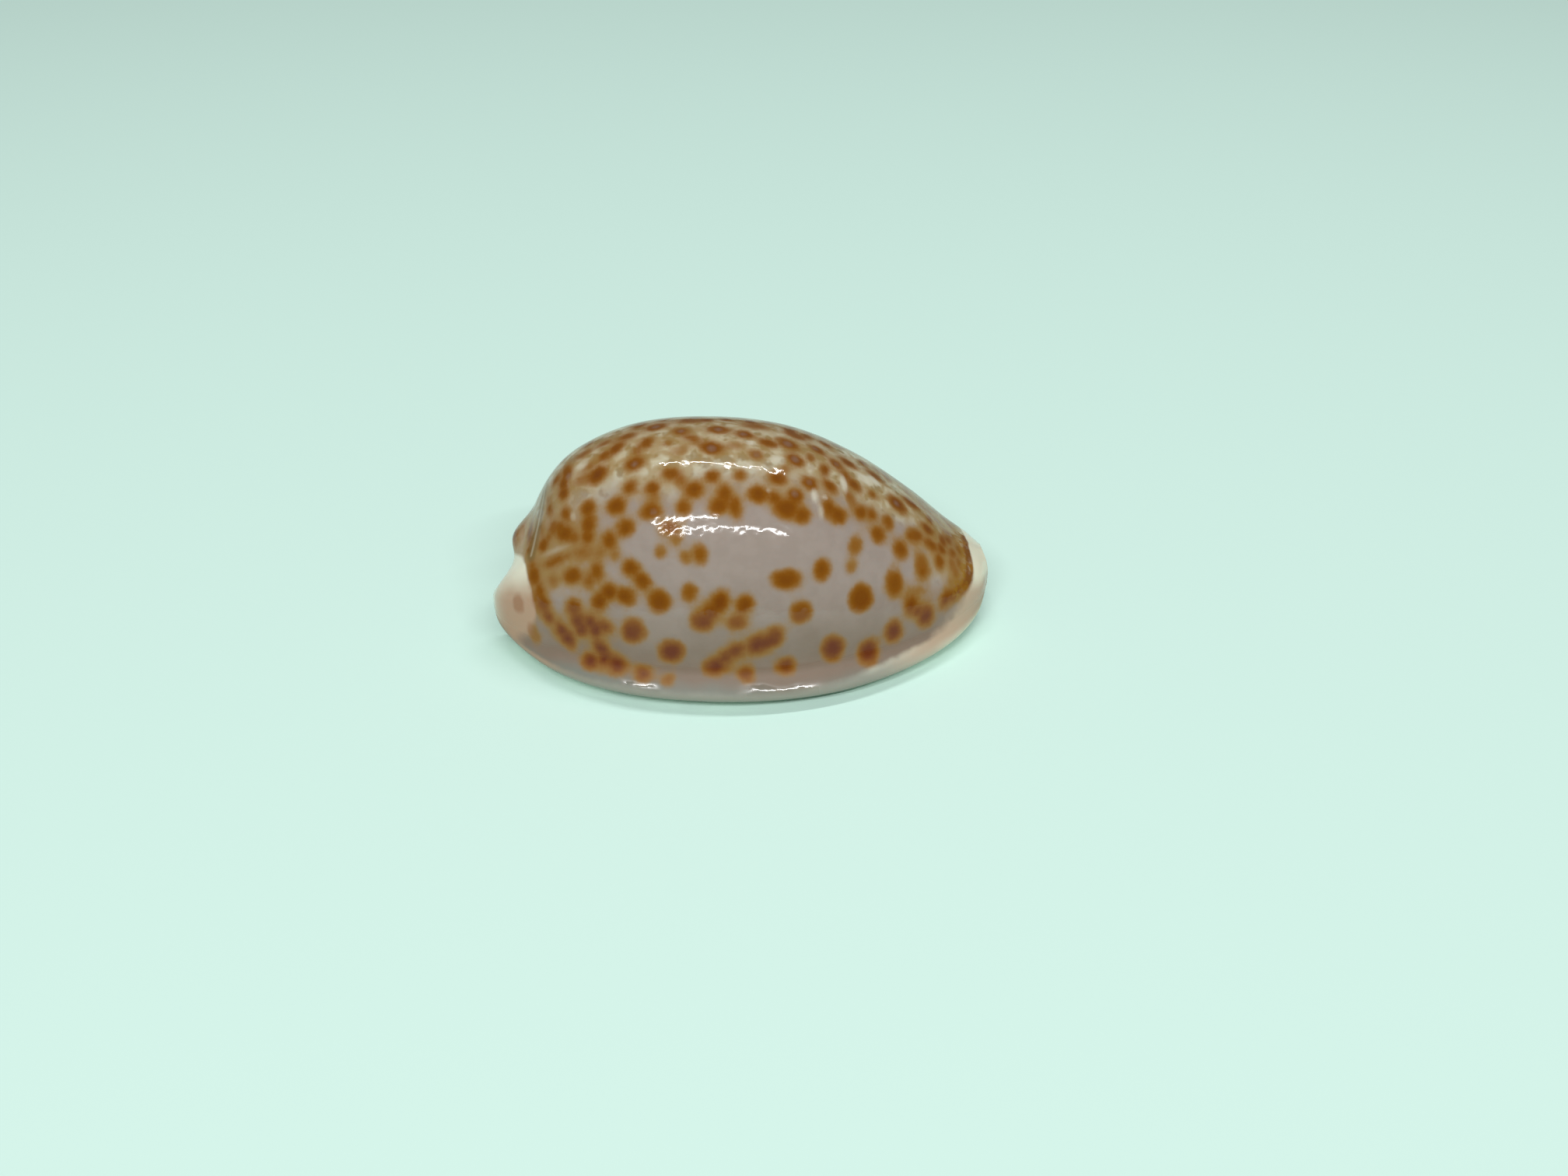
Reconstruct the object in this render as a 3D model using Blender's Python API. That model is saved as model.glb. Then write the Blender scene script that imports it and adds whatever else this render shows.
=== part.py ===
"""A cowrie shell on its base, one hollow solid with rolled body, notched ends, spire stub and toothed lips.

+X is the anterior (narrow) end, -Y the side of the outer lip, +Z up. Metres.
"""

from math import cos, pi, radians, sin

import bmesh
import bpy
import numpy as np
from mathutils import Matrix, Vector

LENGTH = 0.025  # tip to tip

# Guide curves along the shell, posterior end first: x, y and z as shares of LENGTH.
OUTER_MARGIN = (
    (-0.500, -0.002, 0.098), (-0.492, -0.038, 0.094), (-0.455, -0.082, 0.090),
    (-0.370, -0.145, 0.086), (-0.220, -0.212, 0.088), (-0.030, -0.245, 0.090),
    (0.150, -0.228, 0.088), (0.300, -0.177, 0.086), (0.412, -0.116, 0.085),
    (0.471, -0.064, 0.090), (0.495, -0.014, 0.099),
)
INNER_MARGIN = (
    (-0.460, 0.100, 0.088), (-0.450, 0.137, 0.085), (-0.404, 0.185, 0.085),
    (-0.326, 0.230, 0.085), (-0.180, 0.272, 0.085), (0.000, 0.280, 0.085),
    (0.170, 0.252, 0.085), (0.300, 0.208, 0.085), (0.405, 0.165, 0.085),
    (0.467, 0.124, 0.091), (0.493, 0.080, 0.100),
)
CREST = (
    (-0.425, 0.060, 0.145), (-0.422, 0.060, 0.190), (-0.404, 0.057, 0.238),
    (-0.398, 0.055, 0.287), (-0.348, 0.045, 0.364), (-0.235, 0.040, 0.423), (-0.100, 0.035, 0.441),
    (0.070, 0.035, 0.417), (0.220, 0.030, 0.346), (0.340, 0.025, 0.258),
    (0.420, 0.025, 0.186), (0.463, 0.025, 0.157), (0.489, 0.025, 0.140),
)
OUTER_LIP = (
    (-0.495, 0.015, 0.062), (-0.440, 0.022, 0.034), (-0.350, 0.014, 0.008),
    (-0.100, -0.026, 0.000), (0.230, -0.038, 0.000), (0.400, -0.028, 0.018),
    (0.460, -0.016, 0.038), (0.492, -0.004, 0.064),
)
INNER_LIP = (
    (-0.458, 0.070, 0.060), (-0.420, 0.072, 0.032), (-0.330, 0.060, 0.008),
    (-0.100, 0.024, 0.000), (0.230, 0.016, 0.000), (0.380, 0.028, 0.016),
    (0.452, 0.039, 0.042), (0.487, 0.046, 0.070),
)

# Roundness of the section: 2 is an ellipse, more is boxier.
OUTER_FLANK, INNER_FLANK = (1.85, 1.60), (2.15, 2.38)  # at the middle and ends, and halfway between
BASE, END_BASE = 3.2, 2.1
# How far the callus of each margin swells outwards, and the height and spread of the swelling.
OUTER_CALLUS, INNER_CALLUS, CALLUS_HEIGHT, CALLUS_SPREAD = 0.066, 0.018, 0.022, 0.038
OUTER_LIP_RADIUS, INNER_LIP_RADIUS = 0.030, 0.060
LIP_WALL = 0.060  # how far a lip's wall runs up into the aperture past its rolled edge
LIP_WALL_LEAN = 0.6  # how far that wall leans back, as a share of its height
END_ROLL, END_LIP_WALL = 0.25, 0.4  # shares of the roll and of the wall that are left at the notches
CREST_PULL = 3.5  # more keeps a flank's rows level with the margin for longer before they meet the crest
WALL = 0.042  # thickness of the rolled body
CAVITY_BASE, CAVITY_ROOF = 2.6, 2.0  # roundness of the cavity's floor and of its roof
CAVITY_SHOULDER = 0.3  # where the floor turns into the roof, as a share of the cavity's height
RIM = 0.060  # how far from each end the wall takes to reach its full thickness
REST = 0.003  # depth worn off the base, which leaves the flat that the shell rests on

SPIRE_PLACE, SPIRE_REACH, SPIRE_PUSH = (-0.405, 0.055, 0.207), (0.050, 0.060, 0.045), -0.041

STATIONS, END_CROWDING = 49, 0.65  # crowding is 0 for even stations and 1 for the closest at the ends
WALL_ROWS, ROLL_ROWS, BASE_ROWS, FLANK_ROWS = 2, 4, 6, 12

OUTER_TEETH, INNER_TEETH, TEETH_SPAN = 23, 20, (-0.39, 0.42)
OUTER_TOOTH = (0.010, 0.009, -20, 62)  # half width, height, and where it starts and ends round the lip
INNER_TOOTH = (0.009, 0.008, -15, 62)
TOOTH_STEPS, TOOTH_TOP = 5, 0.8  # and how wide a tooth is on top, as a share of its foot
TOOTH_SINK = 0.5  # how deep a tooth's two ends sink into the lip, as a share of its height


def smooth_path(points, shares):
    """Points at these shares of a smooth curve through the guide points."""
    points = np.array(points)
    steps = np.sqrt(np.linalg.norm(np.diff(points, axis=0), axis=1))
    knots = np.concatenate([[0], np.cumsum(steps)]) / steps.sum()
    slopes = np.gradient(points, knots, axis=0)
    span = np.clip(np.searchsorted(knots, shares, side="right") - 1, 0, len(knots) - 2)
    width = (knots[span + 1] - knots[span])[:, None]
    t = (shares - knots[span])[:, None] / width
    start = (2 * t**3 - 3 * t**2 + 1) * points[span] + (t**3 - 2 * t**2 + t) * width * slopes[span]
    end = (3 * t**2 - 2 * t**3) * points[span + 1] + (t**3 - t**2) * width * slopes[span + 1]
    return start + end


def quarter(angle, roundness):
    """Cosine-like and sine-like reach of a rounded corner at this angle."""
    c, s = cos(angle), sin(angle)
    reach = (abs(c) ** roundness + abs(s) ** roundness) ** (-1 / roundness)
    return c * reach, s * reach


def mix(a, b, share):
    return a + (b - a) * share


def columns(*coordinates):
    return np.stack(coordinates, axis=1)


def lip_rows(edge, side, radius, fade):
    """Rows from the top of the aperture wall down and round the lip to the base."""
    x, y, z = edge.T
    middle_y, middle_z = y + side * radius, z + radius
    rows = []
    for step in range(WALL_ROWS, 0, -1):
        share = step / WALL_ROWS
        lean = side * LIP_WALL_LEAN * LIP_WALL * share**2 * fade
        height = LIP_WALL * share * mix(END_LIP_WALL, 1, fade)
        rows.append(columns(x, y + lean, middle_z + height))
    for step in range(ROLL_ROWS):
        angle = pi / 2 * step / ROLL_ROWS
        rows.append(columns(x, middle_y - side * radius * cos(angle), middle_z - radius * sin(angle)))
    return rows


def outer_half(margin, crest, edge, side, flank, callus, lip_radius, along):
    """Rows of the outside, from inside the aperture over the lip, base and flank to the crest."""
    swell = 1 - np.abs(2 * along - 1) ** 3
    fade = np.clip(2 * swell, END_ROLL, 1)
    radius = lip_radius * fade
    rows = lip_rows(edge, side, radius, fade)
    base_start = edge + columns(0 * radius, side * radius, 0 * radius)
    for step in range(BASE_ROWS):
        out, down = quarter(pi / 2 * (1 - step / BASE_ROWS), mix(END_BASE, BASE, swell))
        row = mix(base_start, margin, out[:, None])
        row[:, 2] = mix(margin[:, 2], edge[:, 2], down)
        rows.append(callused(row, base_start, margin, side * callus * swell))
    roundness = mix(flank[0], flank[1], np.sin(2 * pi * along) ** 2)
    for step in range(FLANK_ROWS + 1):
        angle = pi / 2 * step / FLANK_ROWS
        out, up = quarter(angle, roundness)
        x = mix(margin[:, 0], crest[:, 0], sin(angle) ** CREST_PULL)
        y = mix(crest[:, 1], margin[:, 1], out)
        z = mix(margin[:, 2], crest[:, 2], up)
        rows.append(callused(columns(x, y, z), base_start, margin, side * callus * swell))
    return rows


def callused(row, base_start, margin, push):
    """The row pushed outwards where the marginal callus swells."""
    share = np.clip((row[:, 1] - base_start[:, 1]) / (margin[:, 1] - base_start[:, 1]), 0, 1)
    height = np.exp(-(((row[:, 2] - CALLUS_HEIGHT) / CALLUS_SPREAD) ** 2))
    row[:, 1] += push * share**2 * height
    return row


def inward(path, up_axis, side):
    """Unit vectors square to the curve, pointing into the body, in the plane of x and one more axis."""
    run = np.gradient(path, axis=0)
    normal = np.zeros_like(path)
    normal[:, 0] = side * run[:, up_axis]
    normal[:, up_axis] = -side * run[:, 0]
    return normal / np.linalg.norm(normal, axis=1)[:, None]


def inner_half(outer_rows, crest, margin, side):
    """Rows of the body cavity: its floor from the top of the aperture wall, then its roof."""
    top = outer_rows[0]
    roof = crest + inward(crest, 2, 1) * WALL
    room = np.linalg.norm(margin[:, :2] - top[:, :2], axis=1)
    wall_side = margin + inward(margin, 1, side) * np.minimum(WALL, 0.5 * room)[:, None]
    wall_side[:, 2] = mix(top[:, 2], roof[:, 2], CAVITY_SHOULDER)
    flank_start = len(outer_rows) - FLANK_ROWS - 1
    rows = []
    for step in range(flank_start):
        out, down = quarter(pi / 2 * (1 - step / flank_start), CAVITY_BASE)
        row = mix(top, wall_side, out)
        row[:, 2] = mix(wall_side[:, 2], top[:, 2], down)
        rows.append(row)
    for step in range(FLANK_ROWS + 1):
        angle = pi / 2 * step / FLANK_ROWS
        out, up = quarter(angle, CAVITY_ROOF)
        x = mix(wall_side[:, 0], roof[:, 0], sin(angle) ** CREST_PULL)
        y = mix(roof[:, 1], wall_side[:, 1], out)
        rows.append(columns(x, y, mix(wall_side[:, 2], roof[:, 2], up)))
    return rows


def add_spire(points):
    """The blunt stub of the spire, pushed out of the posterior end."""
    distance = (points - np.array(SPIRE_PLACE)) / np.array(SPIRE_REACH)
    push = SPIRE_PUSH * np.exp(-(distance**2).sum(axis=2))
    return points + np.stack([push, 0 * push, 0 * push], axis=2)


def shell_sheets():
    """Outside and cavity as two grids, stations by rows, that share their border."""
    steps = np.linspace(0, 1, STATIONS)
    along = mix(steps, (1 - np.cos(pi * steps)) / 2, END_CROWDING)
    crest = smooth_path(CREST, along)
    halves = []
    for margin, edge, side, flank, callus, radius in (
        (OUTER_MARGIN, OUTER_LIP, -1, OUTER_FLANK, OUTER_CALLUS, OUTER_LIP_RADIUS),
        (INNER_MARGIN, INNER_LIP, 1, INNER_FLANK, INNER_CALLUS, INNER_LIP_RADIUS),
    ):
        margin, edge = smooth_path(margin, along), smooth_path(edge, along)
        outside = outer_half(margin, crest, edge, side, flank, callus, radius, along)
        halves.append((outside, inner_half(outside, crest, margin, side)))
    outside, cavity = (
        np.stack(halves[0][k] + halves[1][k][-2::-1], axis=1) for k in (0, 1)
    )
    outside = add_spire(outside)
    outside[:, :, 2] = np.maximum(outside[:, :, 2] - REST, 0)
    cavity[:, :, 2] -= REST
    from_end = np.clip(np.minimum(along, 1 - along) / RIM, 0, 1)
    growth = np.sqrt(1 - (1 - from_end) ** 2)[:, None, None]
    return outside, mix(outside, cavity, growth)


def sheet_faces(first, second):
    """Faces between the vertices of two grids that share their border, the second with half the rows."""
    faces = []
    for i in range(first.shape[0] - 1):
        for j in range(first.shape[1] - 1):
            faces.append((first[i, j], first[i + 1, j], first[i + 1, j + 1], first[i, j + 1]))
    coarse = second[:, ::2]
    for i in range(coarse.shape[0] - 1):
        for j in range(coarse.shape[1] - 1):
            faces.append((coarse[i, j], coarse[i, j + 1], coarse[i + 1, j + 1], coarse[i + 1, j]))
    for j in range(0, first.shape[1] - 1, 2):
        faces.append((first[0, j], first[0, j + 1], first[0, j + 2]))
        faces.append((first[-1, j + 2], first[-1, j + 1], first[-1, j]))
    return faces


def body_mesh():
    outside, cavity = shell_sheets()
    mesh = bmesh.new()
    first = np.empty(outside.shape[:2], dtype=object)
    second = np.empty(outside.shape[:2], dtype=object)
    rows, columns_ = outside.shape[:2]
    for i in range(rows):
        for j in range(columns_):
            first[i, j] = mesh.verts.new(outside[i, j] * LENGTH)
            on_border = i in (0, rows - 1) or j in (0, columns_ - 1)
            if on_border:
                second[i, j] = first[i, j]
            elif j % 2 == 0:
                second[i, j] = mesh.verts.new(cavity[i, j] * LENGTH)
    for corners in sheet_faces(first, second):
        mesh.faces.new(corners)
    bmesh.ops.triangulate(mesh, faces=mesh.faces)
    bmesh.ops.recalc_face_normals(mesh, faces=mesh.faces)
    return mesh


def evenly_spaced(lip, count):
    """Places along a lip at even steps of x, from the first tooth to the last."""
    path = smooth_path(lip, np.linspace(0, 1, 400))
    x = np.linspace(*TEETH_SPAN, count)
    return columns(x, np.interp(x, path[:, 0], path[:, 1]), np.interp(x, path[:, 0], path[:, 2]))


def add_teeth(mesh, lip, count, size, side, radius):
    """Ridges bent round the rolled edge of a lip."""
    half_width, height, start, end = size
    for place in evenly_spaced(lip, count):
        middle = Vector(place) + Vector((0, side * radius, radius - REST))
        rings = []
        for step in range(TOOTH_STEPS):
            share = step / (TOOTH_STEPS - 1)
            angle = radians(mix(start, end, share))
            out = Vector((0, -side * cos(angle), -sin(angle)))
            crown = radius + height * mix(-TOOTH_SINK, 1, sin(pi * share) ** 0.7)
            foot = radius - 2 * height
            ring = []
            for across, reach in ((-1, foot), (-TOOTH_TOP, crown), (TOOTH_TOP, crown), (1, foot)):
                corner = middle + out * reach + Vector((across * half_width, 0, 0))
                ring.append(mesh.verts.new(corner * LENGTH))
            rings.append(ring)
        mesh.faces.new(rings[0])
        mesh.faces.new(rings[-1][::-1])
        for near, far in zip(rings, rings[1:]):
            for k in range(4):
                mesh.faces.new((near[k], far[k], far[k - 3], near[k - 3]))
    bmesh.ops.triangulate(mesh, faces=mesh.faces)
    bmesh.ops.recalc_face_normals(mesh, faces=mesh.faces)


def centre_over_origin(shell, *followers):
    """Moves the meshes so that the shell's box stands centred on the origin."""
    places = np.array([vertex.co for vertex in shell.data.vertices])
    middle = (places.min(axis=0) + places.max(axis=0)) / 2
    for piece in (shell, *followers):
        piece.data.transform(Matrix.Translation((-middle[0], -middle[1], 0)))


def new_object(name, mesh, material):
    data = bpy.data.meshes.new(name)
    mesh.to_mesh(data)
    mesh.free()
    data.materials.append(material)
    shape = bpy.data.objects.new(name, data)
    bpy.context.collection.objects.link(shape)
    return shape


def porcelain_like_shell():
    material = bpy.data.materials.new("glossy shell enamel")
    material.use_nodes = True
    shader = material.node_tree.nodes["Principled BSDF"]
    shader.inputs["Base Color"].default_value = (0.62, 0.50, 0.42, 1)
    shader.inputs["Roughness"].default_value = 0.15
    shader.inputs["IOR"].default_value = 1.53
    return material


def build():
    for old in list(bpy.data.objects):
        bpy.data.objects.remove(old)
    enamel = porcelain_like_shell()
    shell = new_object("cowrie_shell", body_mesh(), enamel)
    teeth = bmesh.new()
    add_teeth(teeth, OUTER_LIP, OUTER_TEETH, OUTER_TOOTH, -1, OUTER_LIP_RADIUS)
    add_teeth(teeth, INNER_LIP, INNER_TEETH, INNER_TOOTH, 1, INNER_LIP_RADIUS)
    ridges = new_object("tooth_ridges", teeth, enamel)
    ridges.hide_render = True
    ridges.display_type = "WIRE"
    centre_over_origin(shell, ridges)
    fused = shell.modifiers.new("teeth", "BOOLEAN")
    fused.operation = "UNION"
    fused.solver = "EXACT"
    fused.object = ridges


build()
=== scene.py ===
"""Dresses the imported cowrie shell: spotted enamel, toothed lips and a notched, hollow body on a pale floor.

The shell lies on its base: +X is its anterior (narrow) end, -Y the side of its outer lip, +Z up. Metres.
"""

from math import cos, pi, radians, sin

import bpy
import numpy as np
from mathutils import Euler, Matrix, Vector


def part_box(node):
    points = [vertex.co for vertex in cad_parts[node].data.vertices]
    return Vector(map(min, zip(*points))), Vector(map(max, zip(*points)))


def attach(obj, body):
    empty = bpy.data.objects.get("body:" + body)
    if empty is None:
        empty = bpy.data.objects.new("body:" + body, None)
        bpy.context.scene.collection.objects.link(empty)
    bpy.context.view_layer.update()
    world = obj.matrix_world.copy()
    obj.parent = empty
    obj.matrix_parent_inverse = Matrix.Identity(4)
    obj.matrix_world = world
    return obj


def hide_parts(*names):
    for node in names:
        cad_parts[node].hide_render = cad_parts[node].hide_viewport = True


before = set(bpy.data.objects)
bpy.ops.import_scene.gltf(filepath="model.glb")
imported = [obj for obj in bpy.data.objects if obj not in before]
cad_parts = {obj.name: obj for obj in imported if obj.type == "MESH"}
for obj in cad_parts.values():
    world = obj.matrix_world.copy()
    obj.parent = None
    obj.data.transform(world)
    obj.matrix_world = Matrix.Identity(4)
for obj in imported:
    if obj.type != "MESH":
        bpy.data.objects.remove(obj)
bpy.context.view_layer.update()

MM = 0.001
LENGTH = 25 * MM  # tip to tip

# Guide curves along the shell, posterior end first: x, y and z as shares of LENGTH.
OUTER_MARGIN = (
    (-0.500, -0.002, 0.098), (-0.492, -0.038, 0.094), (-0.455, -0.082, 0.090),
    (-0.370, -0.145, 0.086), (-0.220, -0.212, 0.088), (-0.030, -0.245, 0.090),
    (0.150, -0.228, 0.088), (0.300, -0.177, 0.086), (0.412, -0.116, 0.085),
    (0.471, -0.064, 0.090), (0.495, -0.014, 0.099),
)
INNER_MARGIN = (
    (-0.460, 0.100, 0.088), (-0.450, 0.137, 0.085), (-0.404, 0.185, 0.085),
    (-0.326, 0.230, 0.085), (-0.180, 0.272, 0.085), (0.000, 0.280, 0.085),
    (0.170, 0.252, 0.085), (0.300, 0.208, 0.085), (0.405, 0.165, 0.085),
    (0.467, 0.124, 0.091), (0.493, 0.080, 0.100),
)
CREST = (
    (-0.425, 0.060, 0.145), (-0.422, 0.060, 0.190), (-0.404, 0.057, 0.238),
    (-0.398, 0.055, 0.287), (-0.348, 0.045, 0.364), (-0.235, 0.040, 0.423),
    (-0.100, 0.035, 0.441), (0.070, 0.035, 0.417), (0.220, 0.030, 0.346),
    (0.340, 0.025, 0.258), (0.420, 0.025, 0.186), (0.463, 0.025, 0.157),
    (0.489, 0.025, 0.140),
)
OUTER_LIP = (
    (-0.495, 0.015, 0.062), (-0.440, 0.022, 0.034), (-0.350, 0.014, 0.008),
    (-0.100, -0.026, 0.000), (0.230, -0.038, 0.000), (0.400, -0.028, 0.018),
    (0.460, -0.016, 0.038), (0.492, -0.004, 0.064),
)
INNER_LIP = (
    (-0.458, 0.070, 0.060), (-0.420, 0.072, 0.032), (-0.330, 0.060, 0.008),
    (-0.100, 0.024, 0.000), (0.230, 0.016, 0.000), (0.380, 0.028, 0.016),
    (0.452, 0.039, 0.042), (0.487, 0.046, 0.070),
)

# Roundness of the section: 2 is an ellipse, more is boxier.
OUTER_FLANK, INNER_FLANK = (1.85, 1.60), (2.15, 2.38)  # at the middle and ends, and halfway between
BASE, END_BASE = 3.2, 2.1
# How far the callus of each margin swells outwards, and the height and spread of the swelling.
OUTER_CALLUS, INNER_CALLUS, CALLUS_HEIGHT, CALLUS_SPREAD = 0.066, 0.018, 0.022, 0.038
OUTER_LIP_RADIUS, INNER_LIP_RADIUS = 0.030, 0.060
LIP_WALL = 0.060  # how far a lip's wall runs up into the aperture past its rolled edge
LIP_WALL_LEAN = 0.6  # how far that wall leans back, as a share of its height
END_ROLL, END_LIP_WALL = 0.25, 0.4  # shares of the roll and of the wall that are left at the notches
CREST_PULL = 3.5  # more keeps a flank's rows level with the margin for longer before they meet the crest
WALL = 0.042  # thickness of the rolled body
CAVITY_BASE, CAVITY_ROOF = 2.6, 2.0  # roundness of the cavity's floor and of its roof
CAVITY_SHOULDER = 0.3  # where the floor turns into the roof, as a share of the cavity's height
RIM = 0.060  # how far from each end the wall takes to reach its full thickness
REST = 0.003  # depth worn off the base, which leaves the flat that the shell rests on
SPIRE_PLACE, SPIRE_REACH, SPIRE_PUSH = (-0.405, 0.055, 0.207), (0.050, 0.060, 0.045), -0.041

STATIONS, END_CROWDING = 281, 0.65  # crowding is 0 for even stations and 1 for the closest at the ends
WALL_ROWS, ROLL_ROWS, BASE_ROWS, FLANK_ROWS = 6, 14, 30, 60
CAVITY_STEP = 5  # the cavity has every fifth row

TEETH_SPAN = (-0.39, 0.42)


def mix(a, b, share):
    return a + (b - a) * share


def smooth_step(low, high, value):
    share = np.clip((value - low) / (high - low), 0, 1)
    return share * share * (3 - 2 * share)


def columns(*coordinates):
    return np.stack(coordinates, axis=1)


def smooth_path(points, shares):
    """Points at these shares of a smooth curve through the guide points."""
    points = np.array(points)
    steps = np.sqrt(np.linalg.norm(np.diff(points, axis=0), axis=1))
    knots = np.concatenate([[0], np.cumsum(steps)]) / steps.sum()
    slopes = np.gradient(points, knots, axis=0)
    span = np.clip(np.searchsorted(knots, shares, side="right") - 1, 0, len(knots) - 2)
    width = (knots[span + 1] - knots[span])[:, None]
    t = (shares - knots[span])[:, None] / width
    start = (2 * t**3 - 3 * t**2 + 1) * points[span] + (t**3 - 2 * t**2 + t) * width * slopes[span]
    end = (3 * t**2 - 2 * t**3) * points[span + 1] + (t**3 - t**2) * width * slopes[span + 1]
    return start + end


def quarter(angle, roundness):
    """Cosine-like and sine-like reach of a rounded corner at this angle."""
    c, s = cos(angle), sin(angle)
    reach = (abs(c) ** roundness + abs(s) ** roundness) ** (-1 / roundness)
    return c * reach, s * reach


def lip_rows(edge, side, radius, fade):
    """Rows from the top of the aperture wall down and round the lip to the base."""
    x, y, z = edge.T
    middle_y, middle_z = y + side * radius, z + radius
    rows = []
    for step in range(WALL_ROWS, 0, -1):
        share = step / WALL_ROWS
        lean = side * LIP_WALL_LEAN * LIP_WALL * share**2 * fade
        height = LIP_WALL * share * mix(END_LIP_WALL, 1, fade)
        rows.append(columns(x, y + lean, middle_z + height))
    for step in range(ROLL_ROWS):
        angle = pi / 2 * step / ROLL_ROWS
        rows.append(columns(x, middle_y - side * radius * cos(angle), middle_z - radius * sin(angle)))
    return rows


def callused(row, base_start, margin, push):
    """The row pushed outwards where the marginal callus swells."""
    share = np.clip((row[:, 1] - base_start[:, 1]) / (margin[:, 1] - base_start[:, 1]), 0, 1)
    height = np.exp(-(((row[:, 2] - CALLUS_HEIGHT) / CALLUS_SPREAD) ** 2))
    row[:, 1] += push * share**2 * height
    return row


def outer_half(margin, crest, edge, side, flank, callus, lip_radius, along):
    """Rows of the outside, from inside the aperture over the lip, base and flank to the crest."""
    swell = 1 - np.abs(2 * along - 1) ** 3
    fade = np.clip(2 * swell, END_ROLL, 1)
    radius = lip_radius * fade
    rows = lip_rows(edge, side, radius, fade)
    base_start = edge + columns(0 * radius, side * radius, 0 * radius)
    for step in range(BASE_ROWS):
        out, down = quarter(pi / 2 * (1 - step / BASE_ROWS), mix(END_BASE, BASE, swell))
        row = mix(base_start, margin, out[:, None])
        row[:, 2] = mix(margin[:, 2], edge[:, 2], down)
        rows.append(callused(row, base_start, margin, side * callus * swell))
    roundness = mix(flank[0], flank[1], np.sin(2 * pi * along) ** 2)
    for step in range(FLANK_ROWS + 1):
        angle = pi / 2 * step / FLANK_ROWS
        out, up = quarter(angle, roundness)
        x = mix(margin[:, 0], crest[:, 0], sin(angle) ** CREST_PULL)
        y = mix(crest[:, 1], margin[:, 1], out)
        z = mix(margin[:, 2], crest[:, 2], up)
        rows.append(callused(columns(x, y, z), base_start, margin, side * callus * swell))
    return rows


def inward(path, up_axis, side):
    """Unit vectors square to the curve, pointing into the body, in the plane of x and one more axis."""
    run = np.gradient(path, axis=0)
    normal = np.zeros_like(path)
    normal[:, 0] = side * run[:, up_axis]
    normal[:, up_axis] = -side * run[:, 0]
    return normal / np.linalg.norm(normal, axis=1)[:, None]


def inner_half(outer_rows, crest, margin, side):
    """Rows of the body cavity: its floor from the top of the aperture wall, then its roof."""
    top = outer_rows[0]
    roof = crest + inward(crest, 2, 1) * WALL
    room = np.linalg.norm(margin[:, :2] - top[:, :2], axis=1)
    wall_side = margin + inward(margin, 1, side) * np.minimum(WALL, 0.5 * room)[:, None]
    wall_side[:, 2] = mix(top[:, 2], roof[:, 2], CAVITY_SHOULDER)
    flank_start = len(outer_rows) - FLANK_ROWS - 1
    rows = []
    for step in range(flank_start):
        out, down = quarter(pi / 2 * (1 - step / flank_start), CAVITY_BASE)
        row = mix(top, wall_side, out)
        row[:, 2] = mix(wall_side[:, 2], top[:, 2], down)
        rows.append(row)
    for step in range(FLANK_ROWS + 1):
        angle = pi / 2 * step / FLANK_ROWS
        out, up = quarter(angle, CAVITY_ROOF)
        x = mix(wall_side[:, 0], roof[:, 0], sin(angle) ** CREST_PULL)
        y = mix(roof[:, 1], wall_side[:, 1], out)
        rows.append(columns(x, y, mix(wall_side[:, 2], roof[:, 2], up)))
    return rows


def add_spire(points):
    """The blunt stub of the spire, pushed out of the posterior end."""
    distance = (points - np.array(SPIRE_PLACE)) / np.array(SPIRE_REACH)
    push = SPIRE_PUSH * np.exp(-(distance**2).sum(axis=2))
    return points + np.stack([push, 0 * push, 0 * push], axis=2)


def shell_sheets():
    """Outside and cavity as two grids, stations by rows, that share their border."""
    steps = np.linspace(0, 1, STATIONS)
    along = mix(steps, (1 - np.cos(pi * steps)) / 2, END_CROWDING)
    crest = smooth_path(CREST, along)
    halves = []
    for margin, edge, side, flank, callus, radius in (
        (OUTER_MARGIN, OUTER_LIP, -1, OUTER_FLANK, OUTER_CALLUS, OUTER_LIP_RADIUS),
        (INNER_MARGIN, INNER_LIP, 1, INNER_FLANK, INNER_CALLUS, INNER_LIP_RADIUS),
    ):
        margin, edge = smooth_path(margin, along), smooth_path(edge, along)
        outside = outer_half(margin, crest, edge, side, flank, callus, radius, along)
        halves.append((outside, inner_half(outside, crest, margin, side)))
    outside, cavity = (
        np.stack(halves[0][k] + halves[1][k][-2::-1], axis=1) for k in (0, 1)
    )
    outside = add_spire(outside)
    outside[:, :, 2] = np.maximum(outside[:, :, 2] - REST, 0)
    cavity[:, :, 2] -= REST
    from_end = np.clip(np.minimum(along, 1 - along) / RIM, 0, 1)
    growth = np.sqrt(1 - (1 - from_end) ** 2)[:, None, None]
    return outside, mix(outside, cavity, growth)


# ---- places on the outside: a station in percent along the shell, and degrees around it, which are 0 at the
# outer margin, 90 at the crest and 180 at the inner margin

def degrees_around():
    """Degrees around the shell of every row of the outside, from one aperture wall to the other."""
    walls = np.linspace(-225, -180, WALL_ROWS, endpoint=False)
    roll = np.linspace(-180, -90, ROLL_ROWS, endpoint=False)
    base = np.linspace(-90, 0, BASE_ROWS, endpoint=False)
    flank = np.linspace(0, 90, FLANK_ROWS + 1)
    half = np.concatenate([walls, roll, base, flank])
    return np.concatenate([half, 180 - half[-2::-1]])


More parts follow.
